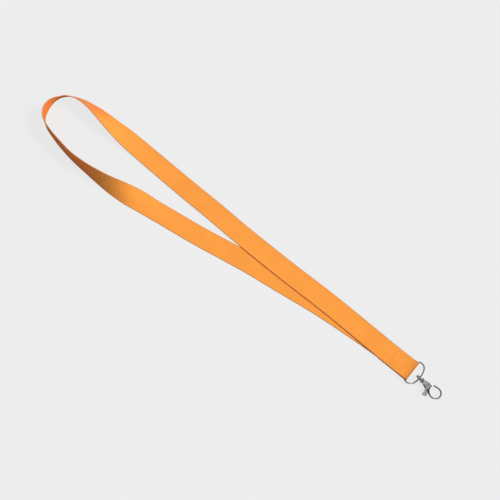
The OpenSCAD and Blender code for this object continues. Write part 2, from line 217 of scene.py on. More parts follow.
class SeamSettings(bpy.types.PropertyGroup):
    """Sizes and colours of the sewn seam."""
    stitch: bpy.props.FloatProperty(
        name="Stitch", description="Length of one stitch",
        default=0.002, min=0.001, max=0.004, unit='LENGTH', precision=4)
    thread: bpy.props.FloatProperty(
        name="Thread", description="Thickness of the sewing thread",
        default=0.00034, min=0.0002, max=0.0008, unit='LENGTH', precision=5)
    colour: bpy.props.FloatVectorProperty(
        name="Colour", description="Colour of the sewing thread", subtype='COLOR',
        size=3, default=(1.0, 0.370, 0.045), min=0, max=1)


class MetalSettings(bpy.types.PropertyGroup):
    """Finish of the plated fittings."""
    colour: bpy.props.FloatVectorProperty(
        name="Nickel", description="Colour of the nickel plate", subtype='COLOR',
        size=3, default=(0.80, 0.79, 0.765), min=0, max=1)
    spring_colour: bpy.props.FloatVectorProperty(
        name="Spring steel", description="Colour of the spring's wire",
        subtype='COLOR', size=3, default=(0.50, 0.50, 0.49), min=0, max=1)
    rounding: bpy.props.FloatProperty(
        name="Casting grain", description="Size of the cells that round cast edges",
        default=0.00011, min=0.00006, max=0.0004, unit='LENGTH', precision=6)


class StageSettings(bpy.types.PropertyGroup):
    """Camera, floor and lamps."""
    azimuth: bpy.props.FloatProperty(
        name="Azimuth", description="Side from which the camera looks",
        default=math.radians(38), subtype='ANGLE')
    elevation: bpy.props.FloatProperty(
        name="Elevation", description="Height of the camera above the horizon",
        default=math.radians(66), subtype='ANGLE')
    lens: bpy.props.FloatProperty(
        name="Lens", description="Focal length in millimetres", default=85.0, min=20, max=200)
    distance: bpy.props.FloatProperty(
        name="Distance", description="Distance from the camera to its aim",
        default=1.10382, min=0.2, max=5, unit='LENGTH', precision=5)
    aim: bpy.props.FloatVectorProperty(
        name="Aim", description="Point that the camera looks at", size=3,
        default=(-0.186363, 0.005053, 0.0), subtype='XYZ', unit='LENGTH')
    floor_colour: bpy.props.FloatVectorProperty(
        name="Floor", description="Colour of the floor and of the background",
        subtype='COLOR', size=3, default=(0.847, 0.847, 0.847), min=0, max=1)
    key_strength: bpy.props.FloatProperty(
        name="Key lamp", description="Strength of the soft lamp from one side",
        default=2.92, min=0, max=20)
    fill: bpy.props.FloatProperty(
        name="Fill", description="Strength of the light from all round",
        default=0.42, min=0, max=2)


SETTINGS = {
    "lanyard_ribbon": RibbonSettings,
    "lanyard_seam": SeamSettings,
    "lanyard_metal": MetalSettings,
    "lanyard_stage": StageSettings,
}


# --------------------------------------------------------------- shared helpers
def alone(obj):
    """Deselects everything, then selects and activates one object."""
    nothing_selected()
    obj.select_set(True)
    bpy.context.view_layer.objects.active = obj


def nothing_selected():
    """Goes to object mode and leaves nothing selected."""
    if bpy.context.object and bpy.context.object.mode != 'OBJECT':
        bpy.ops.object.mode_set(mode='OBJECT')
    bpy.ops.object.select_all(action='DESELECT')


def placed(obj):
    """Puts an object's place into its mesh, so that it sits at the origin."""
    alone(obj)
    bpy.ops.object.transform_apply(location=True, rotation=True, scale=True)


def copy_of_node(node, name):
    """A merged copy of a CAD node, with a mesh of its own."""
    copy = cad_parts[node].copy()
    copy.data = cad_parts[node].data.copy()
    copy.name = name
    copy.data.name = name
    copy.parent = None
    copy.matrix_world = Matrix.Identity(4)
    bpy.context.scene.collection.objects.link(copy)
    alone(copy)
    bpy.ops.mesh.customdata_custom_splitnormals_clear()
    bpy.ops.object.mode_set(mode='EDIT')
    bpy.ops.mesh.select_all(action='SELECT')
    bpy.ops.mesh.remove_doubles(threshold=1e-6)
    bpy.ops.object.mode_set(mode='OBJECT')
    return copy


def apply_modifier(obj, kind, **values):
    """Adds one modifier, sets it and applies it."""
    alone(obj)
    modifier = obj.modifiers.new(kind.title(), kind)
    for key, value in values.items():
        setattr(modifier, key, value)
    bpy.ops.object.modifier_apply(modifier=modifier.name)


def cast_finish(obj, grain, rounds, faces):
    """Rounds every edge of a piece, as plating over a casting leaves it."""
    apply_modifier(obj, 'REMESH', mode='VOXEL', voxel_size=grain, adaptivity=0.0)
    apply_modifier(obj, 'SMOOTH', factor=0.5, iterations=rounds)
    share = faces / max(len(obj.data.polygons) * 2, 1)
    if share < 1:
        apply_modifier(obj, 'DECIMATE', ratio=share)
    alone(obj)
    bpy.ops.object.shade_smooth()


def own_material(obj, material):
    """Gives a piece one material and no other."""
    obj.data.materials.clear()
    obj.data.materials.append(material)


class Shading:
    """Short forms for making the nodes of one material."""

    def __init__(self, name):
        self.material = bpy.data.materials.new(name)
        self.material.use_nodes = True
        self.tree = self.material.node_tree
        self.shader = self.tree.nodes["Principled BSDF"]

    def node(self, kind, **inputs):
        made = self.tree.nodes.new(kind)
        for key, value in inputs.items():
            made.inputs[key].default_value = value
        return made

    def link(self, start, end):
        self.tree.links.new(start, end)

    def put(self, socket, value):
        if isinstance(value, bpy.types.NodeSocket):
            self.link(value, socket)
        else:
            socket.default_value = value

    def maths(self, operation, first, second=0.0, third=None):
        made = self.tree.nodes.new('ShaderNodeMath')
        made.operation = operation
        self.put(made.inputs[0], first)
        self.put(made.inputs[1], second)
        if third is not None:
            self.put(made.inputs[2], third)
        return made.outputs[0]

    def mix(self, factor, first, second):
        made = self.tree.nodes.new('ShaderNodeMix')
        made.data_type = 'RGBA'
        self.put(made.inputs[0], factor)
        self.put(made.inputs[6], first)
        self.put(made.inputs[7], second)
        return made.outputs[2]

    def ramp(self, value, low, high, out_low=0.0, out_high=1.0):
        made = self.tree.nodes.new('ShaderNodeMapRange')
        made.interpolation_type = 'SMOOTHSTEP'
        self.put(made.inputs[0], value)
        for number, amount in zip((1, 2, 3, 4), (low, high, out_low, out_high)):
            made.inputs[number].default_value = amount
        return made.outputs[0]

    def noise(self, vector, scale, detail=3.0, roughness=0.5):
        made = self.node('ShaderNodeTexNoise', Scale=scale, Detail=detail, Roughness=roughness)
        self.put(made.inputs["Vector"], vector)
        return made.outputs["Fac"]

    def bump(self, height, distance, strength=1.0, below=None):
        made = self.node('ShaderNodeBump', Distance=distance, Strength=strength)
        self.put(made.inputs["Height"], height)
        if below is not None:
            self.link(below, made.inputs["Normal"])
        return made.outputs[0]


def rgba(colour, share=1.0):
    """A colour of three numbers as four, made lighter or darker by a share."""
    return (colour[0] * share, colour[1] * share, colour[2] * share, 1.0)


# -------------------------------------------------------------------- materials
def woven_material(ribbon, length, fold_shade_at):
    """Fine twill of a woven ribbon, on the ribbon's own UV map in metres."""
    s = Shading("woven_ribbon")
    uv = s.node('ShaderNodeUVMap')
    uv.uv_map = "along_and_across"
    parts = s.node('ShaderNodeSeparateXYZ')
    s.link(uv.outputs[0], parts.inputs[0])
    along, across = parts.outputs[0], parts.outputs[1]
    turn = 2 * math.pi
    pitch = ribbon.thread_pitch

    # Twill ribs run at an angle across the ribbon, and the weft crosses them
    diagonal = s.maths('ADD', s.maths('MULTIPLY', along, turn / pitch),
                       s.maths('MULTIPLY', across, turn / pitch * TWILL_SLOPE))
    rib = s.maths('MULTIPLY_ADD', s.maths('SINE', diagonal), 0.5, 0.5)
    weft = s.maths('SINE', s.maths('MULTIPLY', along, turn / pitch * 2.0))
    warp = s.maths('SINE', s.maths('MULTIPLY', across, turn / pitch * 2.0))
    threads = s.maths('MULTIPLY_ADD', s.maths('MULTIPLY', weft, warp), 0.5, 0.5)
    height = s.maths('ADD', s.maths('MULTIPLY', rib, 0.7), s.maths('MULTIPLY', threads, 0.3))

    # The edges get painted shade and their side faces painted light, and both cut ends are sealed
    # by heat and darker
    from_middle = s.maths('ABSOLUTE', across)
    half = ribbon.width / 2
    edge = s.ramp(from_middle, half - EDGE_SHADE_STARTS, half - EDGE_SHADE_FULL)
    first_end = s.ramp(along, SEAL_STARTS, SEAL_FULL)
    last_end = s.ramp(along, length - SEAL_STARTS, length - SEAL_FULL)
    sealed = s.maths('MAXIMUM', first_end, last_end)

    # Slow changes of shade along the strand, as dyed ribbon has
    place = s.node('ShaderNodeTexCoord')
    slow = s.noise(place.outputs["Object"], scale=42.0, detail=2.0, roughness=0.5)
    fine = s.noise(place.outputs["Object"], scale=900.0, detail=3.0, roughness=0.6)
    shade = s.maths('ADD', s.maths('MULTIPLY_ADD', slow, 0.16, 0.90),
                    s.maths('MULTIPLY_ADD', fine, 0.06, -0.02))
    face = s.mix(height, rgba(ribbon.rib_colour), rgba(ribbon.colour))
    toned = s.tree.nodes.new('ShaderNodeVectorMath')
    toned.operation = 'SCALE'
    s.link(face, toned.inputs[0])
    s.link(shade, toned.inputs["Scale"])
    # Painted light on the side face of each edge, over the painted shade along the edge
    brim_light = s.ramp(from_middle, half - EDGE_SHADE_FULL, half - BRIM_LIGHT_FULL)
    edge_shade_and_brim_light = s.mix(brim_light, rgba(ribbon.edge_shade_and_seal_colour), rgba(ribbon.edge_shade_and_seal_colour, 1.2))
    edge_shaded = s.mix(edge, toned.outputs[0], edge_shade_and_brim_light)
    ended = s.mix(s.maths('MULTIPLY', sealed, 0.55), edge_shaded, rgba(ribbon.edge_shade_and_seal_colour, 0.45))
    # Painted shade along the far end of the fold round the bar, where it curves away from the
    # lamp
    from_fold_shade = s.maths('ABSOLUTE', s.maths('SUBTRACT', along, fold_shade_at))
    fold_shade = s.ramp(from_fold_shade, FOLD_SHADE_STARTS, FOLD_SHADE_FULL)
    fold_shaded = s.mix(s.maths('MULTIPLY', fold_shade, FOLD_SHADE_SHARE), ended, rgba(FOLD_SHADE_COLOUR))
    # Painted redder, darker shade where the ribbon is seen at a slant, as on its twists turned
    # away from the lamp
    slant = s.node('ShaderNodeLayerWeight', Blend=0.5)
    slant_shade = s.ramp(slant.outputs["Facing"], SLANT_SHADE_STARTS, SLANT_SHADE_FULL, 0.0, SLANT_SHADE_SHARE)
    slant_shaded = s.mix(slant_shade, fold_shaded, rgba(SLANT_SHADE_COLOUR))
    s.link(slant_shaded, s.shader.inputs["Base Color"])

    rough = s.maths('MULTIPLY_ADD', height, -0.14, 0.66)
    s.link(s.maths('MULTIPLY_ADD', sealed, -0.25, rough), s.shader.inputs["Roughness"])
    s.shader.inputs["Specular IOR Level"].default_value = 0.25
    s.shader.inputs["Sheen Weight"].default_value = 0.35
    s.shader.inputs["Sheen Roughness"].default_value = 0.5
    s.shader.inputs["Sheen Tint"].default_value = (1.0, 0.42, 0.16, 1.0)
    s.link(s.bump(height, distance=0.00006, strength=0.8), s.shader.inputs["Normal"])
    return s.material


def thread_material(seam):
    """Twisted polyester sewing thread."""
    s = Shading("twisted_thread")
    place = s.node('ShaderNodeTexCoord')
    wave = s.node('ShaderNodeTexWave', Scale=1500.0, Distortion=1.5, Detail=2.0)
    wave.bands_direction = 'DIAGONAL'
    s.link(place.outputs["Object"], wave.inputs["Vector"])
    fuzz = s.noise(place.outputs["Object"], scale=4000.0, detail=2.0)
    ply = s.maths('ADD', s.maths('MULTIPLY', wave.outputs["Fac"], 0.8),
                  s.maths('MULTIPLY', fuzz, 0.2))
    colour = s.mix(ply, rgba(seam.colour, 0.8), rgba(seam.colour))
    s.link(colour, s.shader.inputs["Base Color"])
    s.link(s.maths('MULTIPLY_ADD', ply, -0.15, 0.6), s.shader.inputs["Roughness"])
    s.shader.inputs["Sheen Weight"].default_value = 0.1
    s.link(s.bump(ply, distance=0.00005, strength=0.7), s.shader.inputs["Normal"])
    return s.material


def nickel_material(metal, name, parting_z=None, rough=0.17):
    """Bright nickel plate, softly uneven as plating over polished zinc or wire is."""
    s = Shading(name)
    place = s.node('ShaderNodeTexCoord')
    point = place.outputs["Object"]
    cloud = s.noise(point, scale=260.0, detail=3.0, roughness=0.55)
    grain = s.noise(point, scale=5200.0, detail=2.0, roughness=0.6)
    haze = s.ramp(cloud, 0.38, 0.72)
    colour = s.mix(haze, rgba(metal.colour), rgba(metal.colour, 0.90))
    s.shader.inputs["Metallic"].default_value = 1.0
    rough_now = s.maths('ADD', s.maths('MULTIPLY_ADD', haze, 0.07, rough),
                        s.maths('MULTIPLY_ADD', grain, 0.05, -0.02))
    waves = s.bump(cloud, distance=0.00006, strength=0.35)
    skin = s.bump(grain, distance=0.000004, strength=0.35, below=waves)
    if parting_z is not None:
        # A cast piece keeps a faint line where the two halves of its mould met
        parts = s.node('ShaderNodeSeparateXYZ')
        s.link(point, parts.inputs[0])
        off = s.maths('ABSOLUTE', s.maths('SUBTRACT', parts.outputs[2], parting_z))
        line = s.ramp(off, MOULD_LINE_STARTS, MOULD_LINE_FULL)
        skin = s.bump(line, distance=0.00004, strength=0.8, below=skin)
        colour = s.mix(s.maths('MULTIPLY', line, 0.25), colour, rgba(metal.colour, 0.5))
    s.link(colour, s.shader.inputs["Base Color"])
    s.link(rough_now, s.shader.inputs["Roughness"])
    s.link(skin, s.shader.inputs["Normal"])
    return s.material


def spring_material(metal):
    """Drawn spring steel: darker, with fine lines along the wire."""
    s = Shading("drawn_spring_steel")
    place = s.node('ShaderNodeTexCoord')
    lines = s.noise(place.outputs["Object"], scale=3000.0, detail=4.0, roughness=0.7)
    s.link(s.mix(lines, rgba(metal.spring_colour, 0.75), rgba(metal.spring_colour)),
           s.shader.inputs["Base Color"])
    s.shader.inputs["Metallic"].default_value = 1.0
    s.link(s.maths('MULTIPLY_ADD', lines, 0.15, 0.25), s.shader.inputs["Roughness"])
    s.link(s.bump(lines, distance=0.000006, strength=0.5), s.shader.inputs["Normal"])
    return s.material


# ----------------------------------------------------------------- ribbon's form
def curve(a, b, c, d, t):
    """A smooth curve through four neighbouring stations, as the source draws it."""
    return 0.5 * (2 * b + (c - a) * t + (2 * a - 5 * b + 4 * c - d) * t * t
                  + (3 * b - a - 3 * c + d) * t * t * t)


def slope(a, b, c, d, t):
    """The direction of that curve."""
    return 0.5 * (c - a + 2 * (2 * a - 5 * b + 4 * c - d) * t
                  + 3 * (3 * b - a - 3 * c + d) * t * t)


def ribbon_sections(ribbon):
    """[middle point, direction of the width, normal] from the cut end of the tail,
    round the bar and the neck turn to the other cut end, in metres."""
    width, thickness = ribbon.width, ribbon.thickness
    sections = [(Vector((-TAIL_L * MM, TAIL_SIDE * MM, 0)) * (1 - k / TAIL_STEPS)
                 + Vector((0, 0, thickness / 2)),
                 Vector((0, -1, 0)), Vector((0, 0, -1))) for k in range(TAIL_STEPS)]
    for k in range(FOLD_STEPS):
        a = math.radians(-90 + 180 * k / FOLD_STEPS)
        sections.append((Vector((FOLD_R * math.cos(a), 0, BAR_Z + FOLD_R * math.sin(a))) * MM,
                         Vector((0, -1, 0)), Vector((math.cos(a), 0, math.sin(a)))))
    last = len(ROUTE) - 1
    steps = [(i, k / SPAN_STEPS) for i in range(last) for k in range(SPAN_STEPS)]
    for i, t in steps + [(last - 1, 1.0)]:
        a, b, c, d = (ROUTE[min(max(i + n, 0), last)] for n in (-1, 0, 1, 2))
        p = [curve(a[n], b[n], c[n], d[n], t) for n in range(4)]
        way = Vector([slope(a[n], b[n], c[n], d[n], t) for n in range(2)] + [0]).normalized()
        lift = b[2] + (c[2] - b[2]) * t * t * (3 - 2 * t)
        roll = math.radians(p[3])
        side = Vector((-way.y, way.x, 0))
        z = (lift * ribbon.layer_pitch + width / 2 * abs(math.sin(roll))
             + thickness / 2 * abs(math.cos(roll)))
        sections.append((Vector((p[0] * MM, p[1] * MM, z)),
                         side * math.cos(roll) + Vector((0, 0, math.sin(roll))),
                         Vector((0, 0, math.cos(roll))) - side * math.sin(roll)))
    return sections


def ribbon_profile(ribbon):
    """Half of the ribbon's cross-section: a flat face between two denser edges."""
    w, t = ribbon.width / 2, ribbon.thickness / 2
    upper = [(w, 0.0), (w - 0.00004, 0.55 * t), (w - 0.00018, 0.9 * t), (w - 0.0004, t),
             (w - 0.0008, 0.97 * t), (w - 0.0012, 0.88 * t), (w * 0.5, 0.88 * t), (0.0, 0.88 * t)]
    top = upper + [(-x, y) for x, y in reversed(upper[:-1])]
    return top + [(x, -y) for x, y in reversed(top[1:-1])]


def build_ribbon(ribbon):
    """The ribbon's mesh with its UV map, and its cut length."""
    sections = ribbon_sections(ribbon)
    profile = ribbon_profile(ribbon)
    count = len(profile)
    mesh = bmesh.new()
    layer = mesh.loops.layers.uv.new("along_and_across")
    rings = [[mesh.verts.new(p + u * x + n * y) for x, y in profile] for p, u, n in sections]
    runs = [0.0]
    for (p, _, _), (q, _, _) in zip(sections, sections[1:]):
        runs.append(runs[-1] + (q - p).length)

    def face(corners):
        made = mesh.faces.new([vert for vert, _ in corners])
        made.smooth = True
        for loop, (_, uv) in zip(made.loops, corners):
            loop[layer].uv = uv

    for i in range(len(rings) - 1):
        for j in range(count):
            k = (j + 1) % count
            face([(rings[i][j], (runs[i], profile[j][0])),
                  (rings[i][k], (runs[i], profile[k][0])),
                  (rings[i + 1][k], (runs[i + 1], profile[k][0])),
                  (rings[i + 1][j], (runs[i + 1], profile[j][0]))])
    for i in (0, len(rings) - 1):
        face([(rings[i][j], (runs[i], profile[j][0])) for j in range(count)])
    bmesh.ops.recalc_face_normals(mesh, faces=mesh.faces)
    data = bpy.data.meshes.new("woven_ribbon")
    mesh.to_mesh(data)
    mesh.free()
    obj = bpy.data.objects.new("woven_ribbon", data)
    bpy.context.scene.collection.objects.link(obj)
    return obj, runs[-1]


class LANYARD_OT_ribbon(bpy.types.Operator):
    """Sweeps the woven ribbon along its route"""
    bl_idname = "lanyard.ribbon"
    bl_label = "Woven ribbon"

    def execute(self, context):
        ribbon = context.scene.lanyard_ribbon
        obj, length = build_ribbon(ribbon)
        fold_shade_at = (TAIL_L + FOLD_R * math.radians(FOLD_SHADE_TURN)) * MM
        own_material(obj, woven_material(ribbon, length, fold_shade_at))
        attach(obj, "strap")
        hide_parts("ribbon")
        return {'FINISHED'}


# ------------------------------------------------------------------------- seam
# Path of one stitch: half stitches along it, and mm up from its upper run
STITCH_PATH = [(0.0, -1.38), (0.0, -0.5), (0.06, -0.18), (0.26, -0.02), (0.6, 0.0),
               (1.0, 0.0), (1.4, 0.0), (1.74, -0.02), (1.94, -0.18), (2.0, -0.45)]
# Corner of the seam in mm, its stitches along and across, and the height of each thread
SEAM_AT = (-20.0, -6.5)
SEAM_STITCHES = (6, 7)
NEEDLE_Z = 2.88
BOBBIN_Z = 0.2
THREAD_SIDES = 10


def one_stitch(seam, name):
    """One stitch from its needle hole to the next, extruded along its path."""
    nothing_selected()
    unit = seam.stitch / 2
    path = [Vector((x * unit, 0, z * MM)) for x, z in STITCH_PATH]
    bpy.ops.mesh.primitive_circle_add(vertices=THREAD_SIDES, radius=seam.thread / 2,
                                      fill_type='NGON', location=path[0])
    stitch = bpy.context.object
    stitch.name = name
    placed(stitch)
    bpy.ops.object.mode_set(mode='EDIT')
    bpy.ops.mesh.select_all(action='SELECT')
    heading = Vector((0, 0, 1))
    for index in range(1, len(path)):
        step = path[index] - path[index - 1]
        bpy.ops.mesh.extrude_region_move(TRANSFORM_OT_translate={"value": step})
        ahead = path[min(index + 1, len(path) - 1)] - path[index - 1]
        turn = heading.angle(ahead) * (1 if heading.cross(ahead).y > 0 else -1)
        if abs(turn) > 1e-4:
            bpy.ops.transform.rotate(value=-turn, orient_axis='Y',
                                     center_override=path[index])
            heading = ahead.normalized()
    bpy.ops.mesh.select_all(action='SELECT')
    bpy.ops.mesh.normals_make_consistent(inside=False)
    bpy.ops.object.mode_set(mode='OBJECT')
    bpy.ops.object.shade_smooth()
    return stitch


def sew(seam, name, height, upside):
    """A rectangle of stitches, joined into one piece of thread."""
    first = one_stitch(seam, name)
    if upside < 0:
        for vert in first.data.vertices:
            vert.co.z = -vert.co.z
        first.data.flip_normals()
    pitch = seam.stitch
    half = seam.thread / 2
    x0, y0 = SEAM_AT[0] * MM + half, SEAM_AT[1] * MM + half
    along, across = SEAM_STITCHES[0] * pitch, SEAM_STITCHES[1] * pitch
    sides = [((x0, y0), 0, SEAM_STITCHES[0]), ((x0 + along, y0), 90, SEAM_STITCHES[1]),
             ((x0 + along, y0 + across), 180, SEAM_STITCHES[0]),
             ((x0, y0 + across), 270, SEAM_STITCHES[1])]
    copies = []
    for (x, y), angle, count in sides:
        turn = Matrix.Rotation(math.radians(angle), 4, 'Z')
        for k in range(count):
            copy = first.copy()
            copy.data = first.data.copy()
            bpy.context.scene.collection.objects.link(copy)
            copy.data.transform(Matrix.Translation((x, y, height * MM)) @ turn
                                @ Matrix.Translation((k * pitch, 0, 0)))
            copies.append(copy)
    bpy.data.objects.remove(first)
    alone(copies[0])
    for copy in copies:
        copy.select_set(True)
    bpy.ops.object.join()
    sewn = bpy.context.object
    sewn.name = name
    sewn.data.name = name
    return sewn


class LANYARD_OT_seam(bpy.types.Operator):
    """Sews the rectangle of stitches through both ends of the ribbon"""
    bl_idname = "lanyard.seam"
    bl_label = "Seam"

    def execute(self, context):
        seam = context.scene.lanyard_seam
        material = thread_material(seam)
        for name, node, height, upside in (
                ("upper_stitches", "needle_thread", NEEDLE_Z, 1),
                ("lower_stitches", "bobbin_thread", BOBBIN_Z, -1)):
            obj = sew(seam, name, height, upside)
            own_material(obj, material)
            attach(obj, "strap")
            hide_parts(node)
        return {'FINISHED'}


# ------------------------------------------------------------------------ metal
class LANYARD_OT_ring(bpy.types.Operator):
    """Finishes the bent wire ring that the ribbon is folded round"""
    bl_idname = "lanyard.ring"
    bl_label = "Ring"

    def execute(self, context):
        metal = context.scene.lanyard_metal
        obj = copy_of_node("d_ring", "wire_ring")
        cast_finish(obj, metal.rounding, rounds=4, faces=40000)
        own_material(obj, nickel_material(metal, "nickel_on_wire"))
        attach(obj, "ring")
        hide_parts("d_ring")
        return {'FINISHED'}


class LANYARD_OT_swivel_eye(bpy.types.Operator):
    """Finishes the swivel eye with its collar and stem"""
    bl_idname = "lanyard.swivel_eye"
    bl_label = "Swivel eye"

    def execute(self, context):
        metal = context.scene.lanyard_metal
        obj = copy_of_node("swivel_eye", "swivel_eye_cast")
        cast_finish(obj, metal.rounding, rounds=8, faces=30000)
        own_material(obj, nickel_material(metal, "nickel_on_eye"))
        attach(obj, "eye")
        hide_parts("swivel_eye")
        return {'FINISHED'}


class LANYARD_OT_hook(bpy.types.Operator):
    """Finishes the cast hook with its socket, cheeks, spine and bow"""
    bl_idname = "lanyard.hook"
    bl_label = "Hook"

    def execute(self, context):
        metal = context.scene.lanyard_metal
        obj = copy_of_node("hook_body", "hook_casting")
        cast_finish(obj, metal.rounding, rounds=8, faces=70000)
        own_material(obj, nickel_material(metal, "nickel_on_hook", MOULD_LINE_Z * MM))
        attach(obj, "hook")
        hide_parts("hook_body")
        return {'FINISHED'}


class LANYARD_OT_lever(bpy.types.Operator):
    """Finishes the trigger lever"""
    bl_idname = "lanyard.lever"
    bl_label = "Trigger lever"

    def execute(self, context):
        metal = context.scene.lanyard_metal
        obj = copy_of_node("trigger_lever", "trigger_lever_cast")
        cast_finish(obj, metal.rounding * LEVER_GRAIN, rounds=16, faces=60000)
        own_material(obj, nickel_material(metal, "nickel_on_lever", MOULD_LINE_Z * MM))
        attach(obj, "trigger")
        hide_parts("trigger_lever")
        return {'FINISHED'}


# Radius of the rivet's shank and the heights of its two ends, in mm
RIVET_SHANK = (0.6, 0.6, 5.6)
RIVET_SIDES = 48
# One head from its rim to the top of its dome: radius and height over the cheek, in mm
RIVET_HEAD = [(1.06, 0.0), (1.1, 0.04), (1.1, 0.1), (1.06, 0.16), (0.94, 0.21),
              (0.76, 0.25), (0.52, 0.28), (0.26, 0.295), (0.06, 0.3)]


def rivet():
    """A rivet: a round shank whose two ends are spread into domed heads."""
    nothing_selected()
    radius, low, high = RIVET_SHANK
    middle = Vector((RIVET_AT[0], RIVET_AT[1], (low + high) / 2)) * MM
    bpy.ops.mesh.primitive_cylinder_add(vertices=RIVET_SIDES, radius=radius * MM,
                                        depth=(high - low) * MM, location=middle)
    obj = bpy.context.object
    obj.name = "domed_rivet"
    placed(obj)
    for side in (1, -1):
        bpy.ops.object.mode_set(mode='EDIT')
        bpy.ops.mesh.select_mode(type='FACE')
        bpy.ops.mesh.select_all(action='DESELECT')
        bpy.ops.object.mode_set(mode='OBJECT')
        for face in obj.data.polygons:
            face.select = face.normal.z * side > 0.9
        bpy.ops.object.mode_set(mode='EDIT')
        now, height = radius, 0.0
        for ring, rise in RIVET_HEAD:
            step = Vector((0, 0, (rise - height) * side)) * MM
            bpy.ops.mesh.extrude_region_move(TRANSFORM_OT_translate={"value": step})
            bpy.ops.transform.resize(value=(ring / now, ring / now, 1),
                                     center_override=middle)
            now, height = ring, rise
    bpy.ops.mesh.select_all(action='SELECT')
    bpy.ops.mesh.normals_make_consistent(inside=False)
    bpy.ops.object.mode_set(mode='OBJECT')
    bpy.ops.object.shade_smooth()
    return obj


class LANYARD_OT_pin(bpy.types.Operator):
    """Makes the rivet that the lever turns on, with two domed heads"""
    bl_idname = "lanyard.pin"
    bl_label = "Pivot pin"

    def execute(self, context):
        metal = context.scene.lanyard_metal
        obj = rivet()
        own_material(obj, nickel_material(metal, "nickel_on_rivet", rough=0.14))
        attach(obj, "hook")
        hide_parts("pivot_pin")
        return {'FINISHED'}


class LANYARD_OT_spring(bpy.types.Operator):
    """Finishes the torsion spring inside the lever"""
    bl_idname = "lanyard.spring"
    bl_label = "Trigger spring"

    def execute(self, context):
        metal = context.scene.lanyard_metal
        obj = copy_of_node("trigger_spring", "torsion_spring")
        apply_modifier(obj, 'SUBSURF', levels=1, render_levels=1)
        alone(obj)
        bpy.ops.object.shade_smooth()
        own_material(obj, spring_material(metal))
        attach(obj, "hook")
        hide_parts("trigger_spring")
        return {'FINISHED'}


# ------------------------------------------------------------------------ stage
def pale_floor(stage):
    """A floor that looks as pale as the background and keeps a faint shadow."""
    nothing_selected()
    bpy.ops.mesh.primitive_plane_add(size=FLOOR_SIDE, location=(0, 0, FLOOR_Z))
    floor = bpy.context.object
    floor.name = "studio_floor"
    placed(floor)
    s = Shading("pale_floor")
    tree = s.tree
    tree.nodes.remove(s.shader)
    path = s.node('ShaderNodeLightPath')
    seen = s.maths('MAXIMUM', path.outputs["Is Camera Ray"],
                   s.maths('MAXIMUM', path.outputs["Is Glossy Ray"],
                           path.outputs["Is Transmission Ray"]))
    glow = s.node('ShaderNodeEmission', Color=rgba(stage.floor_colour), Strength=1.0)
    # Painted contact shade: close under the metal the floor's colour darkens by ambient
    # occlusion, which bright metal reflects and the camera doesn't see
    contact = s.node('ShaderNodeAmbientOcclusion', Distance=CONTACT_SHADE_REACH)
    contact.samples = 8
    contact_shade = s.maths('POWER', contact.outputs["AO"], 2.0)
    contact_shaded_floor = s.mix(s.maths('MAXIMUM', contact_shade, path.outputs["Is Camera Ray"]),
                      CONTACT_SHADE_COLOUR, rgba(stage.floor_colour))
    shaded = s.node('ShaderNodeBsdfDiffuse')
    s.link(contact_shaded_floor, shaded.inputs["Color"])
    # The camera sees a small part of the shadow, reflections see all of it
    soft = s.node('ShaderNodeMixShader')
    missed = s.maths('MULTIPLY', path.outputs["Is Camera Ray"], SHADOW_UNSEEN)
    s.link(s.maths('SUBTRACT', 1.0, missed), soft.inputs[0])
    s.link(glow.outputs[0], soft.inputs[1])
    s.link(shaded.outputs[0], soft.inputs[2])
    under = s.node('ShaderNodeBsdfDiffuse', Color=BOUNCE_COLOUR)
    both = s.node('ShaderNodeMixShader')
    s.link(seen, both.inputs[0])
    s.link(under.outputs[0], both.inputs[1])
    s.link(soft.outputs[0], both.inputs[2])
    s.link(both.outputs[0], tree.nodes["Material Output"].inputs[0])
    own_material(floor, s.material)
    return floor


def reflected_only(obj, name, brightness):
    """Makes a card that only reflections see, of one even brightness."""
    obj.name = name
    obj.visible_camera = False
    obj.visible_diffuse = False
    obj.visible_shadow = False
    obj.visible_transmission = False
    s = Shading(name)
    s.tree.nodes.remove(s.shader)
    glow = s.node('ShaderNodeEmission', Color=(1, 1, 1, 1), Strength=brightness)
    s.link(glow.outputs[0], s.tree.nodes["Material Output"].inputs[0])
    own_material(obj, s.material)
    return obj


def card(name, way, distance, size, brightness):
    """A square card that bright metal reflects, seen from the metal along way."""
    nothing_selected()
    bpy.ops.mesh.primitive_plane_add(size=size)
    made = bpy.context.object
    way = Vector(way).normalized()
    middle = Vector(METAL_AT) * MM + way * distance
    facing = (-way).to_track_quat('Z', 'Y').to_matrix().to_4x4()
    made.matrix_world = Matrix.Translation(middle) @ facing
    placed(made)
    return reflected_only(made, name, brightness)


def arch_of_panels(stage):
    """Soft panels in an arch from behind the object, over it and to the camera's
    side. Wire that runs across the picture shows them, wire that runs up it doesn't."""
    back = camera_back(stage)
    across = Vector((math.cos(stage.azimuth), math.sin(stage.azimuth), 0))
    rise = back.cross(across)
    panels = []
    for number, (angle, brightness) in enumerate(ARCH):
        turn = math.radians(angle)
        way = back * math.cos(turn) + rise * math.sin(turn)
        panels.append(card(f"arch_panel_{number}", way, PANEL_DISTANCE, PANEL_SIDE, brightness))
    return panels


def dark_tent(radius, brightness):
    """A dark half sphere over the table, as a studio hangs round bright metal."""
    nothing_selected()
    bpy.ops.mesh.primitive_uv_sphere_add(segments=48, ring_count=24, radius=radius)
    tent = bpy.context.object
    bpy.ops.object.mode_set(mode='EDIT')
    bpy.ops.mesh.select_all(action='SELECT')
    bpy.ops.mesh.bisect(plane_co=(0, 0, TENT_FOOT), plane_no=(0, 0, 1), clear_inner=True)
    bpy.ops.object.mode_set(mode='OBJECT')
    placed(tent)
    return reflected_only(tent, "dark_tent", brightness)


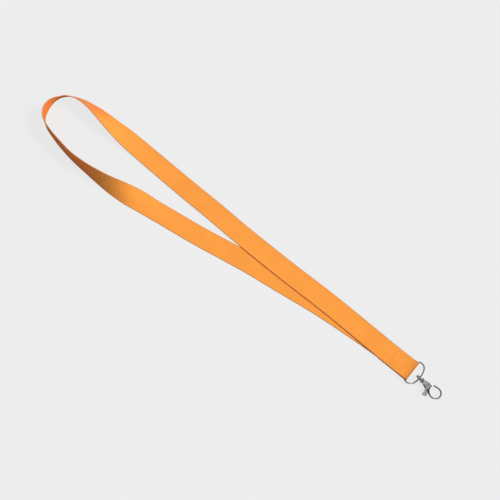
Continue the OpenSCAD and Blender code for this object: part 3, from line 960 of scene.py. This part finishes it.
def studio_world(stage):
    """Even light from all round. Cameras and reflections see the pale background."""
    world = bpy.data.worlds.new("studio")
    bpy.context.scene.world = world
    world.use_nodes = True
    tree = world.node_tree
    path = tree.nodes.new('ShaderNodeLightPath')
    plain = tree.nodes["Background"]
    plain.inputs[0].default_value = (1, 1, 1, 1)
    plain.inputs[1].default_value = stage.fill
    pale = tree.nodes.new('ShaderNodeBackground')
    pale.inputs[0].default_value = rgba(stage.floor_colour)
    pale.inputs[1].default_value = 1.0
    seen = tree.nodes.new('ShaderNodeMath')
    seen.operation = 'MAXIMUM'
    more = tree.nodes.new('ShaderNodeMath')
    more.operation = 'MAXIMUM'
    tree.links.new(path.outputs["Is Glossy Ray"], more.inputs[0])
    tree.links.new(path.outputs["Is Transmission Ray"], more.inputs[1])
    tree.links.new(path.outputs["Is Camera Ray"], seen.inputs[0])
    tree.links.new(more.outputs[0], seen.inputs[1])
    both = tree.nodes.new('ShaderNodeMixShader')
    tree.links.new(seen.outputs[0], both.inputs[0])
    tree.links.new(plain.outputs[0], both.inputs[1])
    tree.links.new(pale.outputs[0], both.inputs[2])
    tree.links.new(both.outputs[0], tree.nodes["World Output"].inputs[0])


def soft_sun(name, way, spread, strength):
    """An even soft lamp that shines from one side. Metal sees the panels instead."""
    data = bpy.data.lights.new(name, 'SUN')
    data.energy = strength
    data.angle = spread
    lamp = bpy.data.objects.new(name, data)
    bpy.context.scene.collection.objects.link(lamp)
    lamp.rotation_euler = Vector(way).to_track_quat('Z', 'Y').to_euler()
    lamp.visible_glossy = False
    return lamp


def camera_back(stage):
    """Direction from the aim to the camera."""
    a, e = stage.azimuth, stage.elevation
    return Vector((math.sin(a) * math.cos(e), -math.cos(a) * math.cos(e), math.sin(e)))


class LANYARD_OT_stage(bpy.types.Operator):
    """Sets the camera at the photograph's angle, with floor, lamps and background"""
    bl_idname = "lanyard.stage"
    bl_label = "Stage"

    def execute(self, context):
        stage = context.scene.lanyard_stage
        data = bpy.data.cameras.new("photo_camera")
        data.lens = stage.lens
        data.sensor_width = SENSOR_WIDTH
        data.sensor_fit = 'AUTO'
        data.clip_start = 0.01
        data.clip_end = 20.0
        camera = bpy.data.objects.new("photo_camera", data)
        context.scene.collection.objects.link(camera)
        back = camera_back(stage)
        aim = Vector(stage.aim)
        camera.matrix_world = (Matrix.Translation(aim + back * stage.distance)
                               @ back.to_track_quat('Z', 'Y').to_matrix().to_4x4())
        context.scene.camera = camera
        studio_world(stage)
        soft_sun("key_lamp", KEY_WAY, math.radians(KEY_SPREAD), stage.key_strength)
        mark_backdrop(pale_floor(stage), dark_tent(3.0, 0.04), *arch_of_panels(stage))
        context.scene.view_settings.view_transform = 'Standard'
        return {'FINISHED'}


# ---------------------------------------------------------------- image points
def camera_axes():
    """The camera's matrix, its settings, and the photograph's long side in pixels."""
    camera = bpy.context.scene.camera
    return camera.matrix_world, camera.data, max(IMAGE_W, IMAGE_H)


def place_in_view(pieces, x, y):
    """Where a ray through an image point meets the pieces, or the place on them
    that is nearest to the ray."""
    matrix, lens, long_side = camera_axes()
    way = matrix.to_3x3() @ Vector((x - IMAGE_W / 2 + lens.shift_x * long_side,
                                    IMAGE_H / 2 - y + lens.shift_y * long_side,
                                    -long_side * lens.lens / lens.sensor_width))
    way.normalize()
    start = matrix.translation
    verts, faces = [], []
    for obj in pieces:
        first = len(verts)
        verts += [obj.matrix_world @ v.co for v in obj.data.vertices]
        faces += [[first + n for n in p.vertices] for p in obj.data.polygons]
    tree = BVHTree.FromPolygons(verts, faces)
    hit = tree.ray_cast(start, way)[0]
    if hit is not None:
        return hit
    return min(verts, key=lambda v: (v - start).cross(way).length)


def image_place(point):
    """Where a point of the scene shows in the photograph's frame."""
    matrix, lens, long_side = camera_axes()
    p = matrix.inverted() @ Vector(point)
    scale = long_side * lens.lens / lens.sensor_width / -p.z
    return (IMAGE_W / 2 - lens.shift_x * long_side + p.x * scale,
            IMAGE_H / 2 + lens.shift_y * long_side - p.y * scale)


def write_points():
    """Works out where each named thing shows in the photograph's frame."""
    bpy.context.view_layer.update()
    shown = [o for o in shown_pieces() if o.type == 'MESH']
    seen = {o.name: [image_place(o.matrix_world @ v.co) for v in o.data.vertices]
            for o in shown}
    every = [p for points in seen.values() for p in points]
    found = {
        "left_edge": (min(every)[0], None),
        "right_edge": (max(every)[0], None),
        "top_edge": (None, min(p[1] for p in every)),
        "bottom_edge": (None, max(p[1] for p in every)),
        "ring_right": max(seen["wire_ring"]),
        "ring_bottom": max(seen["wire_ring"], key=lambda p: p[1]),
        "fold_end_upper_corner": image_place(Vector((1.9, 10.0, 2.4)) * MM),
        "fold_end_lower_corner": image_place(Vector((1.9, -10.0, 2.4)) * MM),
        "hook_nib": image_place(Vector(NIB) * MM),
        "rivet": image_place(Vector(RIVET_TOP) * MM),
        "thumb_tab_end": max(seen["trigger_lever_cast"], key=lambda p: p[1]),
        "eye_back": image_place(Vector(EYE_BACK) * MM),
    }
    for name, (x, y) in IMAGE_POINTS.items():
        if name not in found:
            spot = place_in_view([o for o in shown if o.name == "woven_ribbon"], x, y)
            found[name] = image_place(spot)


# ------------------------------------------------------------------ add-on parts
class LANYARD_PT_panel(bpy.types.Panel):
    """Lists the pieces of the lanyard in the sidebar"""
    bl_label = "Neck lanyard"
    bl_idname = "LANYARD_PT_panel"
    bl_space_type = 'VIEW_3D'
    bl_region_type = 'UI'
    bl_category = "Lanyard"

    def draw(self, context):
        for group, settings in SETTINGS.items():
            box = self.layout.box()
            for key in settings.__annotations__:
                box.prop(getattr(context.scene, group), key)
        for operator in PIECES:
            self.layout.operator(operator.bl_idname)


PIECES = [LANYARD_OT_stage, LANYARD_OT_ribbon, LANYARD_OT_seam, LANYARD_OT_ring,
          LANYARD_OT_swivel_eye, LANYARD_OT_hook, LANYARD_OT_lever, LANYARD_OT_pin,
          LANYARD_OT_spring]


def register():
    for settings in SETTINGS.values():
        bpy.utils.register_class(settings)
    for operator in PIECES:
        bpy.utils.register_class(operator)
    bpy.utils.register_class(LANYARD_PT_panel)
    for group, settings in SETTINGS.items():
        setattr(bpy.types.Scene, group, bpy.props.PointerProperty(type=settings))


def unregister():
    for group in SETTINGS:
        delattr(bpy.types.Scene, group)
    bpy.utils.unregister_class(LANYARD_PT_panel)
    for operator in reversed(PIECES):
        bpy.utils.unregister_class(operator)
    for settings in reversed(list(SETTINGS.values())):
        bpy.utils.unregister_class(settings)


def main():
    """Makes every piece in order."""
    register()
    bpy.ops.lanyard.stage()
    bpy.ops.lanyard.ribbon()
    bpy.ops.lanyard.seam()
    bpy.ops.lanyard.ring()
    bpy.ops.lanyard.swivel_eye()
    bpy.ops.lanyard.hook()
    bpy.ops.lanyard.lever()
    bpy.ops.lanyard.pin()
    bpy.ops.lanyard.spring()
    write_points()


if __name__ == "__main__":
    main()
